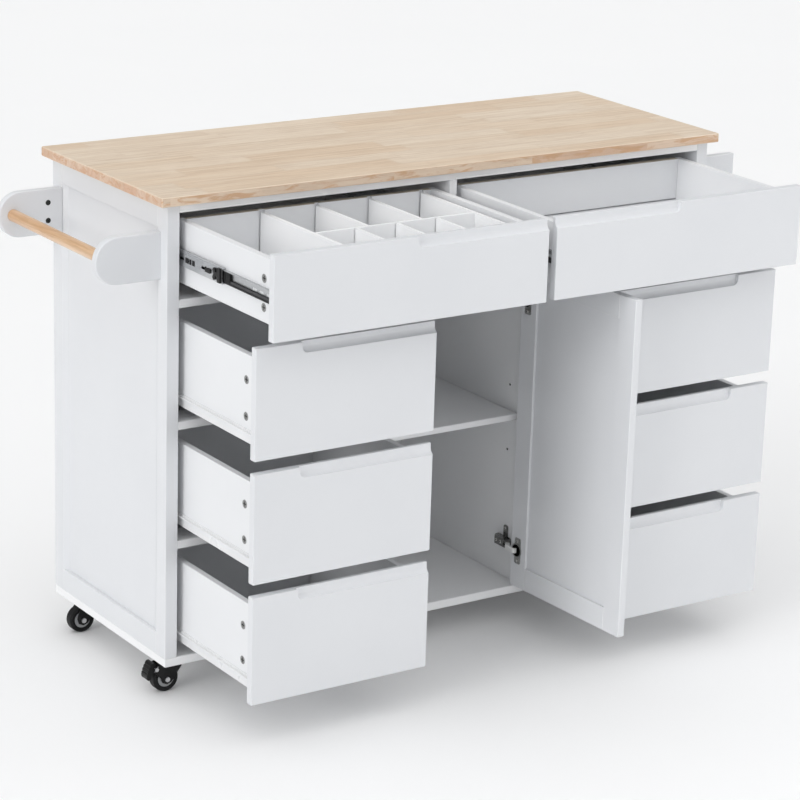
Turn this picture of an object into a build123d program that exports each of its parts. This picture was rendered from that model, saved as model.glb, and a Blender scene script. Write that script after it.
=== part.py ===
"""Rolling kitchen cart: white painted cabinet on swivel casters, solid wood
worktop, two wide upper drawers, two stacks of three drawers, a middle
cupboard with an inset door, a towel rack on the left and a spice rack on the
right.

Lengths are in millimetres.  Layout numbers are counted from the worktop's
front left corner (x to the right, y to the back) and from the floor (z up);
OX and OY move them to the frame used for the parts, whose origin lies on the
floor at the middle of the box around the cart as it stands, drawers and door
open.
"""
import math
import os

from build123d import *

os.makedirs("parts", exist_ok=True)

# ------------------------------------------------------------ driving sizes
HEIGHT = 920.0          # floor to worktop
TOP_W, TOP_D, TOP_T = 1200.0, 450.0, 17.0
CAB_L, CAB_R = 17.0, 1183.0          # cabinet outer sides
CAB_F, CAB_B = 12.5, 437.5           # cabinet front and back
CAB_Z = 65.0            # underside of the cabinet, height of a caster
BOTTOM_T = 16.0
SIDE_T = 24.0           # thickness of a side frame
STILE_W = 34.0
SIDE_TOP_RAIL, SIDE_LOW_RAIL = 44.0, 41.0
RECESS, BEVEL = 8.0, 11.0            # side panel set back from the frame, width of the sloped beads on it
BACK_Y, BACK_T = 429.5, 5.0
BOARD = 15.0            # decks, rails and dividers
UP_DIV = 16.0           # divider between the upper drawers
MID_Z = 721.0           # underside of the middle deck
RAIL_D = 60.0           # depth of the front rails
GAP = 2.0               # gap beside an inset front
FRONT_T = 15.0
FRONT_H = 195.0         # lower drawer fronts
FRONT_H_TOP = 146.5     # upper drawer fronts
PULL_L, PULL_Z, PULL_Y, PULL_R = 268.0, 19.0, 7.6, 11.0
BOX_T = 12.0            # drawer sides and backs
SLIDE_GAP = 13.0        # room for a slide beside a drawer
OPEN_TL, OPEN_TR = 307.0, 303.0      # how far the drawers stand open
OPEN_L, OPEN_R = 255.0, 248.0
DOOR_W, DOOR_T, DOOR_GAP = 320.0, 15.0, 3.0
DOOR_ANGLE = 92.5       # how far the door stands open
DOOR_FRAME = 44.0
WHEEL_R, WHEEL_HALF = 25.0, 10.0
TRAIL = 20.0            # caster wheel behind its swivel
BRACKET_L, BRACKET_H, BRACKET_T = 124.4, 83.5, 15.0
BAR_R = 11.0
RACK_D = 85.0           # spice rack depth
EASE = 0.8              # eased edges of painted boards

# ---------------------------------------------------------- derived layout
IN_L, IN_R = CAB_L + SIDE_T, CAB_R - SIDE_T
FLOOR_Z = CAB_Z + BOTTOM_T
TOP_Z = HEIGHT - TOP_T
HEAD_Z = TOP_Z - BOARD               # underside of the top rails
DECK_Z = MID_Z + BOARD
MIDDLE = TOP_W / 2
COL = (IN_R - IN_L - 2 * BOARD - 366.0) / 2          # side column width
DIV_L0, DIV_L1 = IN_L + COL, IN_L + COL + BOARD
DIV_R0, DIV_R1 = TOP_W - DIV_L1, TOP_W - DIV_L0
OPENING = (MID_Z - FLOOR_Z - 2 * BOARD) / 3
RAIL_ZS = [FLOOR_Z + OPENING, FLOOR_Z + 2 * OPENING + BOARD]
ROW_ZS = [FLOOR_Z + 2 * (OPENING + BOARD), FLOOR_Z + OPENING + BOARD, FLOOR_Z]

DOOR_X1 = DIV_R0 - DOOR_GAP
DOOR_X0 = DOOR_X1 - DOOR_W
DOOR_Z0, DOOR_Z1 = FLOOR_Z + 2.0, MID_Z - 2.0
PIVOT_X, PIVOT_Y = DOOR_X1 - 2.0, CAB_F + 3.5
TH = math.radians(DOOR_ANGLE)


def swung(x, y):
    """Place of a point of the closed door once the door stands open."""
    dx, dy = x - PIVOT_X, y - PIVOT_Y
    return (PIVOT_X + dx * math.cos(TH) - dy * math.sin(TH),
            PIVOT_Y + dx * math.sin(TH) + dy * math.cos(TH))


X_MIN = CAB_L - BRACKET_L
X_MAX = CAB_R + RACK_D
Y_MIN = swung(DOOR_X0, CAB_F + DOOR_T)[1]
Y_MAX = TOP_D
OX, OY = (X_MIN + X_MAX) / 2, (Y_MIN + Y_MAX) / 2
print("offset", round(OX, 4), round(OY, 4), "door pivot",
      round(PIVOT_X - OX, 4), round(PIVOT_Y - OY, 4))


# ------------------------------------------------------------ small helpers
def board(x0, x1, y0, y1, z0, z1, ease=EASE, dy=0.0):
    """A flat board with eased edges."""
    with BuildPart() as piece:
        with BuildSketch(Plane.XY.offset(z0)):
            with Locations(((x0 + x1) / 2 - OX, (y0 + y1) / 2 + dy - OY)):
                Rectangle(x1 - x0, y1 - y0)
        extrude(amount=z1 - z0)
        if ease:
            chamfer(piece.edges(), length=ease)
    return piece.part


def rod_x(x0, x1, y, z, r, dy=0.0):
    """A round rod along x."""
    with BuildPart() as piece:
        with BuildSketch(Plane(origin=(x0 - OX, y + dy - OY, z), x_dir=(0, 1, 0), z_dir=(1, 0, 0))):
            Circle(r)
        extrude(amount=x1 - x0)
    return piece.part


def rod_y(x, y0, y1, z, r):
    """A round rod along y."""
    with BuildPart() as piece:
        with BuildSketch(Plane(origin=(x - OX, y0 - OY, z), x_dir=(1, 0, 0), z_dir=(0, 1, 0))):
            Circle(r)
        extrude(amount=y1 - y0)
    return piece.part


def save(label, *pieces):
    """Write one node, of one solid or of a group of separate solids."""
    node = pieces[0] if len(pieces) == 1 else Compound(label=label, children=list(pieces))
    node.label = label
    export_step(node, "parts/" + label + ".step")


def flip(x):
    return TOP_W - x


# ------------------------------------------------------------------ worktop
with BuildPart() as countertop:
    with BuildSketch(Plane.XY.offset(TOP_Z)):
        with Locations((TOP_W / 2 - OX, TOP_D / 2 - OY)):
            Rectangle(TOP_W, TOP_D)
    extrude(amount=TOP_T)
    fillet(countertop.edges().filter_by(Axis.Z), radius=3.0)
    fillet(countertop.edges().group_by(Axis.Z)[-1], radius=2.0)
    fillet(countertop.edges().group_by(Axis.Z)[0], radius=1.5)
countertop.part.label = "countertop"
export_step(countertop.part, "parts/countertop.step")

# -------------------------------------------------------- frame and panel sides
frames, panels = [], []
for side in (0, 1):
    a, b = (CAB_L, IN_L) if side == 0 else (IN_R, CAB_R)
    face, into = (CAB_L, 1) if side == 0 else (CAB_R, -1)
    y1, y2 = CAB_F + STILE_W, CAB_B - STILE_W
    frames.append([
        board(a, b, CAB_F, y1, FLOOR_Z, TOP_Z),
        board(a, b, y2, CAB_B, FLOOR_Z, TOP_Z),
        board(a, b, y1, y2, FLOOR_Z, FLOOR_Z + SIDE_LOW_RAIL),
        board(a, b, y1, y2, TOP_Z - SIDE_TOP_RAIL, TOP_Z)])
    sunk, inner = face + into * RECESS, face + into * SIDE_T
    z0, z1 = FLOOR_Z + SIDE_LOW_RAIL, TOP_Z - SIDE_TOP_RAIL
    panels.append(board(min(sunk, inner), max(sunk, inner), y1, y2, z0, z1, ease=0))
    for edge, way in ((y1, 1), (y2, -1)):
        with BuildPart() as bead:
            with BuildSketch(Plane.XY.offset(z0)):
                with BuildLine():
                    Polyline((face - OX, edge - OY), (sunk - OX, edge + way * BEVEL - OY), (sunk - OX, edge - OY),
                             (face - OX, edge - OY))
                make_face()
            extrude(amount=z1 - z0)
        panels.append(bead.part)
save("side_frames", *frames[0], *frames[1])
save("side_panels", *panels)

# ------------------------------------------------------- decks, rails, dividers
save("bottom_panel", board(CAB_L, CAB_R, CAB_F, CAB_B, CAB_Z, FLOOR_Z))
save("back_panel", board(IN_L, IN_R, BACK_Y, BACK_Y + BACK_T, FLOOR_Z, TOP_Z, ease=0.4))
save("mid_deck", board(IN_L, IN_R, CAB_F, BACK_Y, MID_Z, DECK_Z))
save("upper_divider", board(MIDDLE - UP_DIV / 2, MIDDLE + UP_DIV / 2, CAB_F, BACK_Y, DECK_Z, HEAD_Z))
rails = [board(IN_L, IN_R, CAB_F, CAB_F + RAIL_D, HEAD_Z, TOP_Z),
         board(IN_L, IN_R, BACK_Y - RAIL_D, BACK_Y, HEAD_Z, TOP_Z)]
for z in RAIL_ZS:
    rails.append(board(IN_L, DIV_L0, CAB_F, CAB_F + RAIL_D, z, z + BOARD))
    rails.append(board(DIV_R1, IN_R, CAB_F, CAB_F + RAIL_D, z, z + BOARD))
save("cross_rails", *rails)

PIN_R, PIN_HOLE_R, PIN_DEPTH = 2.5, 2.55, 8.0
PIN_YS = (66.0, 372.0)
PIN_Z = 400.5
HOLE_ZS = (PIN_Z - 64.0, PIN_Z, PIN_Z + 64.0)
dividers = []
for x0, x1, face, out in ((DIV_L0, DIV_L1, DIV_L1, -1), (DIV_R0, DIV_R1, DIV_R0, 1)):
    with BuildPart() as divider:
        with BuildSketch(Plane.XY.offset(FLOOR_Z)):
            with Locations(((x0 + x1) / 2 - OX, (CAB_F + BACK_Y) / 2 - OY)):
                Rectangle(x1 - x0, BACK_Y - CAB_F)
        extrude(amount=MID_Z - FLOOR_Z)
        chamfer(divider.edges(), length=EASE)
        with BuildSketch(Plane(origin=(face - OX, -OY, 0), x_dir=(0, 1, 0), z_dir=(1, 0, 0))):
            with Locations(*[(y, z) for y in PIN_YS for z in HOLE_ZS]):
                Circle(PIN_HOLE_R)
        extrude(amount=out * PIN_DEPTH, mode=Mode.SUBTRACT)
    dividers.append(divider.part)
dividers.append(board(DIV_L1, DOOR_X0 - DOOR_GAP, CAB_F, CAB_F + 18.0, FLOOR_Z, MID_Z))
save("lower_dividers", *dividers)

# ------------------------------------------------------------ shelf and its pins
SHELF_T, SHELF_F = 12.0, 38.0
SHELF_Z = PIN_Z + PIN_R
save("adjustable_shelf", board(DIV_L1 + 1.0, DIV_R0 - 1.0, SHELF_F, BACK_Y - 3.0, SHELF_Z, SHELF_Z + SHELF_T))
pins = []
for y in PIN_YS:
    pins.append(rod_x(DIV_L1 - PIN_DEPTH + 0.2, DIV_L1 + 9.0, y, PIN_Z, PIN_R))
    pins.append(rod_x(DIV_R0 - 9.0, DIV_R0 + PIN_DEPTH - 0.2, y, PIN_Z, PIN_R))
save("shelf_pins", *pins)

# ------------------------------------------------------------------- towel rack
BRACKET_ZC = 811.25
BRACKET_YS = (34.0, 401.0)
BAR_X, BAR_Z, BAR_SEAT = -80.0, 812.0, 9.0
NUT_X, NUT_R, NUT_DEPTH = CAB_L - 28.0, 5.0, 10.0
NUT_ZS = (BRACKET_ZC + 16.5, BRACKET_ZC - 16.5)
brackets, nuts = [], []
for i, y0 in enumerate(BRACKET_YS):
    inner = y0 + BRACKET_T if i == 0 else y0
    into = -1 if i == 0 else 1
    face = Plane(origin=(-OX, inner - OY, 0), x_dir=(1, 0, 0), z_dir=(0, -1, 0))
    with BuildPart() as bracket:
        with BuildSketch(Plane(origin=(-OX, y0 + BRACKET_T - OY, 0), x_dir=(1, 0, 0), z_dir=(0, -1, 0))):
            h = BRACKET_H / 2
            xc = CAB_L - BRACKET_L + h
            with BuildLine():
                Polyline((xc, BRACKET_ZC - h), (CAB_L, BRACKET_ZC - h), (CAB_L, BRACKET_ZC + h), (xc, BRACKET_ZC + h))
                ThreePointArc((xc, BRACKET_ZC + h), (xc - h, BRACKET_ZC), (xc, BRACKET_ZC - h))
            make_face()
        extrude(amount=BRACKET_T)
        rims = bracket.faces().sort_by(Axis.Y)
        rim = (rims[0].edges() + rims[-1].edges()).filter_by(lambda e: e.center().X < CAB_L - OX - 1.0)
        fillet(rim, radius=2.5)
        with BuildSketch(face):
            with Locations((BAR_X, BAR_Z)):
                Circle(BAR_R + 0.1)
        extrude(amount=-into * BAR_SEAT, mode=Mode.SUBTRACT)
        with BuildSketch(face):
            with Locations(*[(NUT_X, z) for z in NUT_ZS]):
                Circle(NUT_R + 0.1)
        extrude(amount=-into * NUT_DEPTH, mode=Mode.SUBTRACT)
    brackets.append(bracket.part)
    for z in NUT_ZS:
        with BuildPart() as nut:
            with BuildSketch(Plane(origin=(NUT_X - OX, inner - OY, z), x_dir=(1, 0, 0), z_dir=(0, into, 0))):
                Circle(NUT_R)
            extrude(amount=NUT_DEPTH - 0.2)
            with BuildSketch(Plane(origin=(NUT_X - OX, inner - OY, z), x_dir=(1, 0, 0), z_dir=(0, into, 0))):
                Rectangle(6.4, 1.4)
                Rectangle(1.4, 6.4)
            extrude(amount=2.0, mode=Mode.SUBTRACT)
        nuts.append(nut.part)
save("towel_brackets", *brackets)
save("bracket_nuts", *nuts)
save("towel_bar", rod_y(BAR_X, BRACKET_YS[0] + BRACKET_T - BAR_SEAT + 0.3, BRACKET_YS[1] + BAR_SEAT - 0.3, BAR_Z, BAR_R))

# ------------------------------------------------------------------- spice rack
RACK_Z0, RACK_Z1 = 332.0, 868.0
TIERS = (RACK_Z0 + 14.0, RACK_Z0 + 192.0, RACK_Z0 + 370.0)
rack = [board(CAB_R, X_MAX, y, y + BRACKET_T, RACK_Z0, RACK_Z1, ease=1.0) for y in BRACKET_YS]
for z in TIERS:
    rack.append(board(CAB_R, X_MAX - 3.0, BRACKET_YS[0] + BRACKET_T, BRACKET_YS[1], z, z + 12.0))
    rack.append(board(X_MAX - 12.0, X_MAX - 1.0, BRACKET_YS[0] + BRACKET_T, BRACKET_YS[1], z + 40.0, z + 68.0))
save("spice_rack", *rack)

# ------------------------------------------------------------------------ casters
CASTERS = {"front_left": (62.0, 63.0), "front_right": (flip(62.0), 63.0),
           "rear_left": (62.0, 386.0), "rear_right": (flip(62.0), 386.0)}
AXLE_R, KING_R = 3.0, 5.0
PEDAL_X, PEDAL_Z = -41.0, 47.0       # brake pedal pivot, from the swivel
# outline of the pedal around its pivot: cam, arm, ribbed foot rest and heel
PEDAL = ((4.0, -1.0), (4.0, 4.5), (0.5, 8.5), (-3.5, 12.6), (-8.0, 12.2), (-11.2, 8.0), (-11.0, 6.2), (-12.6, 5.4),
         (-14.2, 1.8), (-13.9, 0.2), (-15.4, -0.8), (-16.5, -4.6), (-16.0, -6.2), (-17.4, -7.4), (-18.2, -12.0),
         (-17.6, -17.0), (-15.2, -19.5), (-11.0, -18.6), (-9.0, -15.0), (-9.4, -10.5), (-6.0, -7.5),
         (-1.8, -8.2), (0.0, -7.2), (2.0, -4.2), (4.0, -1.0))
ROUNDED = ((4.0, 4.5), (-3.5, 12.6), (-8.0, 12.2), (-17.6, -17.0), (-15.2, -19.5), (-11.0, -18.6))
plates = []
for name, (cx, cy) in CASTERS.items():
    with BuildPart() as plate:
        with BuildSketch(Plane.XY.offset(CAB_Z - 2.5)):
            with Locations((cx - OX, cy - OY)):
                RectangleRounded(46.0, 46.0, 5.0)
                with GridLocations(34.0, 34.0, 2, 2):
                    Circle(2.4, mode=Mode.SUBTRACT)
        extrude(amount=2.5)
        with BuildSketch(Plane.XY.offset(57.6)):
            with Locations((cx - OX, cy - OY)):
                Circle(18.0)
        extrude(amount=4.9)
        with BuildSketch(Plane.XY.offset(52.4)):
            with Locations((cx - OX, cy - OY)):
                Circle(KING_R)
        extrude(amount=5.2)
        with BuildSketch(Plane.XY.offset(50.8)):
            with Locations((cx - OX, cy - OY)):
                Circle(8.0)
        extrude(amount=1.6)
    plates.append(plate.part)
    braked = name.startswith("front")
    ax = cx - TRAIL

    with BuildPart() as fork:
        with BuildSketch(Plane.XY.offset(52.8)):
            with Locations((cx - OX, cy - OY)):
                Circle(19.0)
                Circle(KING_R + 0.05, mode=Mode.SUBTRACT)
        extrude(amount=4.4)
        for y0 in (cy - 14.0, cy + 11.5):
            with BuildSketch(Plane(origin=(cx - OX, y0 + 2.5 - OY, 0), x_dir=(1, 0, 0), z_dir=(0, -1, 0))):
                with BuildLine():
                    if braked:
                        Polyline((12.0, 57.2), (9.0, 46.0), (-11.0, 18.5), (-20.0, 15.0), (-29.0, 19.0), (-32.0, 28.0),
                                 (-46.0, 43.0), (-46.0, 51.0), (-38.0, 53.0), (-16.0, 57.2), (12.0, 57.2))
                    else:
                        Polyline((12.0, 57.2), (9.0, 46.0), (-11.0, 18.5), (-20.0, 15.0), (-29.0, 19.0), (-32.0, 28.0),
                                 (-28.0, 45.0), (-16.0, 57.2), (12.0, 57.2))
                make_face()
                with Locations((-TRAIL, WHEEL_R)):
                    Circle(AXLE_R + 0.1, mode=Mode.SUBTRACT)
                if braked:
                    with Locations((PEDAL_X, PEDAL_Z)):
                        Circle(2.1, mode=Mode.SUBTRACT)
            extrude(amount=2.5)
        with BuildSketch(Plane.XY.offset(52.8)):
            with Locations((cx - OX, cy - OY)):
                Circle(KING_R + 0.05)
        extrude(amount=4.4, mode=Mode.SUBTRACT)
    with BuildPart() as axle:
        with BuildSketch(Plane(origin=(ax - OX, cy - 16.0 - OY, WHEEL_R), x_dir=(1, 0, 0), z_dir=(0, 1, 0))):
            Circle(AXLE_R)
        extrude(amount=32.0)
        for y0 in (cy - 17.0, cy + 14.0):
            with BuildSketch(Plane(origin=(ax - OX, y0 - OY, WHEEL_R), x_dir=(1, 0, 0), z_dir=(0, 1, 0))):
                Circle(4.6)
            extrude(amount=3.0)
    swivel = [fork.part, axle.part]
    if braked:
        with BuildPart() as pin:
            with BuildSketch(Plane(origin=(cx + PEDAL_X - OX, cy - 14.0 - OY, PEDAL_Z), x_dir=(1, 0, 0), z_dir=(0, 1, 0))):
                Circle(2.0)
            extrude(amount=28.0)
            for y0 in (cy - 15.4, cy + 14.0):
                with BuildSketch(Plane(origin=(cx + PEDAL_X - OX, y0 - OY, PEDAL_Z), x_dir=(1, 0, 0), z_dir=(0, 1, 0))):
                    Circle(3.6)
                extrude(amount=1.4)
        swivel.append(pin.part)
    save("caster_fork_" + name, *swivel)

    with BuildPart() as wheel:
        with BuildSketch(Plane(origin=(ax - OX, cy - OY, WHEEL_R), x_dir=(0, 1, 0), z_dir=(1, 0, 0))):
            with BuildLine():
                Polyline((-10.4, AXLE_R + 0.05), (-10.4, 6.4), (-8.0, 7.0), (-8.0, 9.4), (-9.2, 9.8), (-9.2, 15.6),
                         (-8.0, 16.0), (-8.6, 17.2), (-9.8, 19.0), (-9.8, 22.5), (-8.6, 24.4), (-6.5, WHEEL_R),
                         (6.5, WHEEL_R), (8.6, 24.4), (9.8, 22.5), (9.8, 19.0), (8.6, 17.2), (8.0, 16.0),
                         (9.2, 15.6), (9.2, 9.8), (8.0, 9.4), (8.0, 7.0), (10.4, 6.4), (10.4, AXLE_R + 0.05),
                         (-10.4, AXLE_R + 0.05))
            make_face()
        revolve(axis=Axis((ax - OX, cy - OY, WHEEL_R), (0, 1, 0)))
    save("caster_wheel_" + name, wheel.part)

    if braked:
        with BuildPart() as pedal:
            with BuildSketch(Plane(origin=(cx - OX, cy + 10.8 - OY, 0), x_dir=(1, 0, 0), z_dir=(0, -1, 0))) as outline:
                with BuildLine():
                    Polyline(*[(PEDAL_X + px, PEDAL_Z + pz) for px, pz in PEDAL])
                make_face()
                corners = [v for v in outline.vertices() for px, pz in ROUNDED
                           if abs(v.X - PEDAL_X - px) < 0.05 and abs(v.Y - PEDAL_Z - pz) < 0.05]
                fillet(corners, radius=1.6)
                with Locations((PEDAL_X, PEDAL_Z)):
                    Circle(2.05, mode=Mode.SUBTRACT)
            extrude(amount=21.6)
        save("brake_pedal_" + name, pedal.part)
save("caster_plates", *plates)


# --------------------------------------------------------------- drawer pieces
def drawer_front(x0, x1, z0, z1, y, open_right):
    """An inset slab front with a coved finger pull routed along its top edge,
    run out at the end nearer the cart's middle."""
    a, b = (x1 - PULL_L, x1 + 2.0) if open_right else (x0 + PULL_L, x0 - 2.0)
    s = 1.0 if open_right else -1.0
    low, high = z1 - PULL_Z, z1 + 2.0
    with BuildPart() as pull:
        with BuildSketch(Plane(origin=(min(a, b) - OX, -OY, 0), x_dir=(0, 1, 0), z_dir=(1, 0, 0))):
            with BuildLine():
                Polyline((y - 2.0, low), (y - 2.0, high), (y + PULL_Y, high), (y + PULL_Y, low + 10.0))
                ThreePointArc((y + PULL_Y, low + 10.0), (y + 5.0, low + 3.6), (y, low))
                Line((y, low), (y - 2.0, low))
            make_face()
        extrude(amount=abs(b - a))
        with BuildSketch(Plane(origin=(-OX, y + 20.0 - OY, 0), x_dir=(1, 0, 0), z_dir=(0, -1, 0))):
            with BuildLine():
                q = PULL_R * (1 - math.sqrt(0.5))
                Polyline((a + s * PULL_R, low), (b, low), (b, high), (a, high), (a, low + PULL_R))
                ThreePointArc((a, low + PULL_R), (a + s * q, low + q), (a + s * PULL_R, low))
            make_face()
        extrude(amount=40.0, mode=Mode.INTERSECT)
    with BuildPart() as front:
        with BuildSketch(Plane.XY.offset(z0)):
            with Locations(((x0 + x1) / 2 - OX, y + FRONT_T / 2 - OY)):
                Rectangle(x1 - x0, FRONT_T)
        extrude(amount=z1 - z0)
        chamfer(front.edges(), length=EASE)
        add(pull.part, mode=Mode.SUBTRACT)
    return front.part


CAM_R, CAM_DEPTH = 7.5, 9.0


def drawer_side(x0, x1, z0, z1, length, y, outer, cams):
    """A drawer side with round pockets for the cam locks in its outer face."""
    into = 1.0 if outer == x0 else -1.0
    with BuildPart() as side:
        with BuildSketch(Plane.XY.offset(z0)):
            with Locations(((x0 + x1) / 2 - OX, y + length / 2 - OY)):
                Rectangle(x1 - x0, length)
        extrude(amount=z1 - z0)
        chamfer(side.edges(), length=EASE)
        with BuildSketch(Plane(origin=(outer - OX, -OY, 0), x_dir=(0, 1, 0), z_dir=(1, 0, 0))):
            with Locations(*[(y + 34.0, z) for z in cams]):
                Circle(CAM_R + 0.1)
        extrude(amount=into * CAM_DEPTH, mode=Mode.SUBTRACT)
    return side.part


def cam_lock(outer, into, y, z):
    """A cam lock, flush with the drawer side, with a cross recess."""
    face = Plane(origin=(outer - OX, y - OY, z), x_dir=(0, 1, 0), z_dir=(into, 0, 0))
    with BuildPart() as cam:
        with BuildSketch(face):
            Circle(CAM_R)
        extrude(amount=CAM_DEPTH - 0.2)
        with BuildSketch(face):
            Rectangle(9.0, 1.8)
            Rectangle(1.8, 9.0)
        extrude(amount=2.5, mode=Mode.SUBTRACT)
    return cam.part


def channel(wall, into, reach, half, z, y0, y1, t, slots=()):
    """A steel C channel along y: web on the wall, flanges reaching inwards,
    and slotted screw holes through the web."""
    xa, xb = (wall, wall + reach) if into > 0 else (wall - reach, wall)
    with BuildPart() as c:
        with BuildSketch(Plane(origin=(-OX, y1 - OY, 0), x_dir=(1, 0, 0), z_dir=(0, -1, 0))):
            with Locations(((xa + xb) / 2, z)):
                Rectangle(reach, 2 * half)
            with Locations(((xa + xb) / 2 + into * t / 2, z)):
                Rectangle(reach - t, 2 * (half - t), mode=Mode.SUBTRACT)
        extrude(amount=y1 - y0)
        if slots:
            with BuildSketch(Plane(origin=(wall - OX, -OY, z), x_dir=(0, 1, 0), z_dir=(1, 0, 0))):
                with Locations(*[(s, 0) for s in slots]):
                    SlotOverall(15.0, 4.8)
            extrude(amount=into * t, mode=Mode.SUBTRACT)
    return c.part


# -------------------------------------------------------------- upper drawers
BOX_LEN_TOP = 325.0
TOP_FRONT_Z0 = DECK_Z + 1.5
TOP_FRONT_Z1 = TOP_FRONT_Z0 + FRONT_H_TOP
TOP_BOX_Z0, TOP_BOX_Z1 = 760.0, 870.0
TOP_BASE_Z = 786.0
TOP_CAMS = (834.0, 785.0)
SLIDE_Z = 809.0
SLIDE_Y0, SLIDE_Y1 = 30.0, 350.0


def latch(web, into, y):
    """The moulded lever that holds a slide's members together, on the outside
    of the middle member's web, and its tail in the web's slot."""
    face = Plane(origin=(web - OX, y - OY, SLIDE_Z), x_dir=(0, 1, 0), z_dir=(1, 0, 0))
    with BuildPart() as lever:
        with BuildSketch(face):
            with BuildLine():
                Polyline((3.0, -12.5), (12.0, -12.5), (13.5, -4.0), (18.0, -3.0), (19.5, -10.0), (25.0, -11.0), (27.5, -6.0),
                         (24.0, 0.0), (27.5, 6.0), (25.0, 10.0), (19.5, 9.0), (18.0, 3.0), (13.5, 4.0), (12.0, 12.5),
                         (5.0, 12.5), (3.0, 10.0), (3.0, -12.5))
            make_face()
        extrude(amount=-into * 3.0)
    with BuildPart() as tail:
        with BuildSketch(face):
            with Locations((43.0, 0.0)):
                RectangleRounded(13.0, 8.0, 2.0)
        extrude(amount=-into * 2.2)
    return lever.part, tail.part


def grooved(piece, y0, y1, z0, z1, spans):
    """Cut a groove, a little wider than the board it takes, for each x span."""
    with BuildPart() as cut:
        add(piece)
        for x0, x1 in spans:
            with BuildSketch(Plane.XY.offset(z0)):
                with Locations(((x0 + x1) / 2 - OX, (y0 + y1) / 2 - OY)):
                    Rectangle(x1 - x0 + 2.8, y1 - y0)
            extrude(amount=z1 - z0, mode=Mode.SUBTRACT)
    return cut.part


# layout of the cutlery insert: a wide bay, then a row of three and a row of four
LONG_X, END_X, DIV_T = 211.0, 543.0, 6.0


def bays(count):
    cell = (END_X - LONG_X - 8.0 - (count - 1) * DIV_T) / count
    starts = [LONG_X + 8.0 + i * cell + (i - 1) * DIV_T for i in range(1, count)]
    return [(x, x + DIV_T) for x in starts]


back_row, front_row = bays(3), bays(4)

outers = []
for name, left, right, opened, open_right in (
        ("top_left", IN_L, MIDDLE - UP_DIV / 2, OPEN_TL, True),
        ("top_right", MIDDLE + UP_DIV / 2, IN_R, OPEN_TR, False)):
    y = CAB_F - opened
    yb = y + FRONT_T
    save(name + "_drawer_front", drawer_front(left + GAP, right - GAP, TOP_FRONT_Z0, TOP_FRONT_Z1, y, open_right))
    xa, xb = left + SLIDE_GAP, right - SLIDE_GAP
    box = [drawer_side(xa, xa + BOX_T, TOP_BOX_Z0, TOP_BOX_Z1, BOX_LEN_TOP, yb, xa, TOP_CAMS),
           drawer_side(xb - BOX_T, xb, TOP_BOX_Z0, TOP_BOX_Z1, BOX_LEN_TOP, yb, xb, TOP_CAMS),
           board(xa + BOX_T, xb - BOX_T, yb + BOX_LEN_TOP - BOX_T, yb + BOX_LEN_TOP, TOP_BASE_Z + 7.0, TOP_BOX_Z1),
           board(xa + BOX_T, xb - BOX_T, yb, yb + BOX_LEN_TOP, TOP_BASE_Z, TOP_BASE_Z + 5.0, ease=0)]
    if name == "top_left":
        box[2] = grooved(box[2], yb + BOX_LEN_TOP - BOX_T - 2.0, yb + BOX_LEN_TOP - BOX_T + 4.5, TOP_BASE_Z, TOP_BOX_Z1 + 2.0,
                         [(LONG_X, LONG_X + 8.0), (END_X, END_X + DIV_T)] + back_row)
    save(name + "_drawer_box", *box)
    slots = [SLIDE_Y0 - opened + s for s in (16.0, 38.0, 60.0, 190.0, 300.0)]
    hardware = [channel(xa, -1, 6.0, 11.0, SLIDE_Z, SLIDE_Y0 + 2.0 - opened, SLIDE_Y1 - opened, 1.2, slots),
                channel(xb, 1, 6.0, 11.0, SLIDE_Z, SLIDE_Y0 + 2.0 - opened, SLIDE_Y1 - opened, 1.2, slots)]
    for z in TOP_CAMS:
        hardware.append(cam_lock(xa, 1, yb + 34.0, z))
        hardware.append(cam_lock(xb, -1, yb + 34.0, z))
    save(name + "_slide_inner", *hardware)
    half = opened / 2
    middle = []
    for wall, into in ((left, 1), (right, -1)):
        web = wall + into * 4.6
        slots = [SLIDE_Y0 - half + s for s in (44.0, 62.0, 118.0, 136.0, 250.0)]
        middle.append(channel(web, into, 6.4, 13.8, SLIDE_Z, SLIDE_Y0 - half, SLIDE_Y1 - half, 1.2, slots))
        middle.extend(latch(web, into, SLIDE_Y0 - half))
        slots = [SLIDE_Y0 + s for s in (20.0, 52.0, 180.0, 300.0)]
        outers.append(channel(wall, into, 10.4, 17.5, SLIDE_Z, SLIDE_Y0, SLIDE_Y1, 1.2, slots))
    save(name + "_slide_middle", *middle)
save("slide_outers", *outers)

# cutlery dividers in the upper left drawer
y0 = CAB_F - OPEN_TL + FRONT_T
y1 = y0 + BOX_LEN_TOP - BOX_T - 1.5
z0, z1 = TOP_BASE_Z + 5.0, TOP_BOX_Z1 - 3.0
CROSS_Y = y0 + 141.0
cross = board(LONG_X + 8.0, END_X, CROSS_Y, CROSS_Y + DIV_T, z0, z1, ease=0.5)
cutlery = [board(LONG_X, LONG_X + 8.0, y0, y1, z0, z1, ease=0.5),
           board(END_X, END_X + DIV_T, y0, y1, z0, z1, ease=0.5),
           grooved(cross, CROSS_Y - 2.0, CROSS_Y + 2.6, z0 - 1.0, z1 + 2.0, front_row)]
for row, ya, yz in ((back_row, CROSS_Y + DIV_T, y1), (front_row, y0, CROSS_Y - 1.0)):
    cutlery.extend(board(xa, xb, ya, yz, z0, z1, ease=0.5) for xa, xb in row)
save("cutlery_dividers", *cutlery)

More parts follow.
